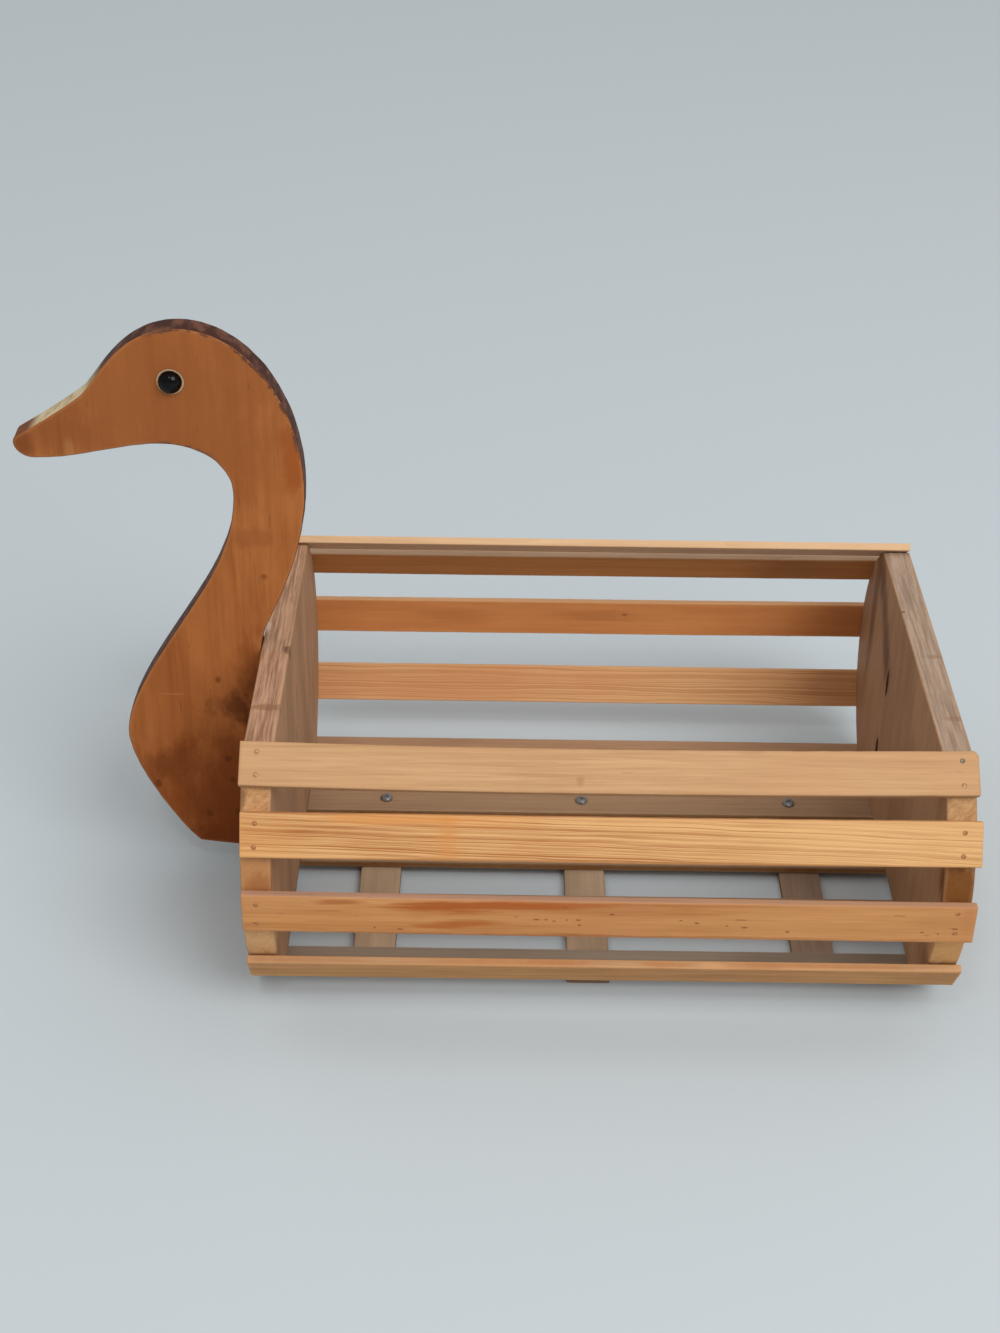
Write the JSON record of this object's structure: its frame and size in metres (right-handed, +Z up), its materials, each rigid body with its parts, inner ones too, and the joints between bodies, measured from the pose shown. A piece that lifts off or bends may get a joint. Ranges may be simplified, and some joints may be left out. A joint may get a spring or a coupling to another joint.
{
  "type": "wood slat basket",
  "caption": "Open wooden basket of nailed slats between two bowed end panels, with a slatted floor and a flat goose-shaped board standing on one end.",
  "frame": {"origin": "on the surface that the basket stands on, under the middle of the floor, on the middle cross slat's underside", "axes": "+X along the slats away from the goose, -Y towards the front, +Z up"},
  "size_m": [0.6068, 0.362, 0.4186],
  "materials": {
    "panel_wood": "weathered, worn stain",
    "goose_wood": "satin brown stain, worn edges",
    "slat_wood": "satin varnish, worn",
    "floor_wood": "weathered grey-brown",
    "dowel_wood": "bare",
    "eye_black": "gloss",
    "nail_steel": "dull, tarnished",
    "screw_steel": "zinc plated"
  },
  "bodies": {
    "root": {"left_end_panel": "panel_wood", "right_end_panel": "panel_wood", "goose_board": "goose_wood", "front_eye": "eye_black", "rear_eye": "eye_black", "goose_dowel_lower": "dowel_wood", "goose_dowel_upper": "dowel_wood", "front_top_slat": "slat_wood", "front_upper_slat": "slat_wood", "front_lower_slat": "slat_wood", "front_bottom_slat": "slat_wood", "back_top_slat": "slat_wood", "back_upper_slat": "slat_wood", "back_lower_slat": "slat_wood", "back_bottom_slat": "slat_wood", "floor_strip_1": "floor_wood", "floor_strip_2": "floor_wood", "floor_strip_3": "floor_wood", "floor_strip_4": "floor_wood", "floor_strip_5": "floor_wood", "left_cross_slat": "floor_wood", "middle_cross_slat": "floor_wood", "right_cross_slat": "floor_wood", "floor_screw_left": "screw_steel", "floor_screw_middle": "screw_steel", "floor_screw_right": "screw_steel", "front_top_slat_nail_left_lower": "nail_steel", "front_top_slat_nail_left_upper": "nail_steel", "front_top_slat_nail_right_lower": "nail_steel", "front_top_slat_nail_right_upper": "nail_steel", "front_upper_slat_nail_left_lower": "nail_steel", "front_upper_slat_nail_left_upper": "nail_steel", "front_upper_slat_nail_right_lower": "nail_steel", "front_upper_slat_nail_right_upper": "nail_steel", "front_lower_slat_nail_left_lower": "nail_steel", "front_lower_slat_nail_left_upper": "nail_steel", "front_lower_slat_nail_right_lower": "nail_steel", "front_lower_slat_nail_right_upper": "nail_steel", "front_bottom_slat_nail_left_lower": "nail_steel", "front_bottom_slat_nail_left_upper": "nail_steel", "front_bottom_slat_nail_right_lower": "nail_steel", "front_bottom_slat_nail_right_upper": "nail_steel", "back_top_slat_nail_left_lower": "nail_steel", "back_top_slat_nail_left_upper": "nail_steel", "back_top_slat_nail_right_lower": "nail_steel", "back_top_slat_nail_right_upper": "nail_steel", "back_upper_slat_nail_left_lower": "nail_steel", "back_upper_slat_nail_left_upper": "nail_steel", "back_upper_slat_nail_right_lower": "nail_steel", "back_upper_slat_nail_right_upper": "nail_steel", "back_lower_slat_nail_left_lower": "nail_steel", "back_lower_slat_nail_left_upper": "nail_steel", "back_lower_slat_nail_right_lower": "nail_steel", "back_lower_slat_nail_right_upper": "nail_steel", "back_bottom_slat_nail_left_lower": "nail_steel", "back_bottom_slat_nail_left_upper": "nail_steel", "back_bottom_slat_nail_right_lower": "nail_steel", "back_bottom_slat_nail_right_upper": "nail_steel"}
  },
  "joints": []
}
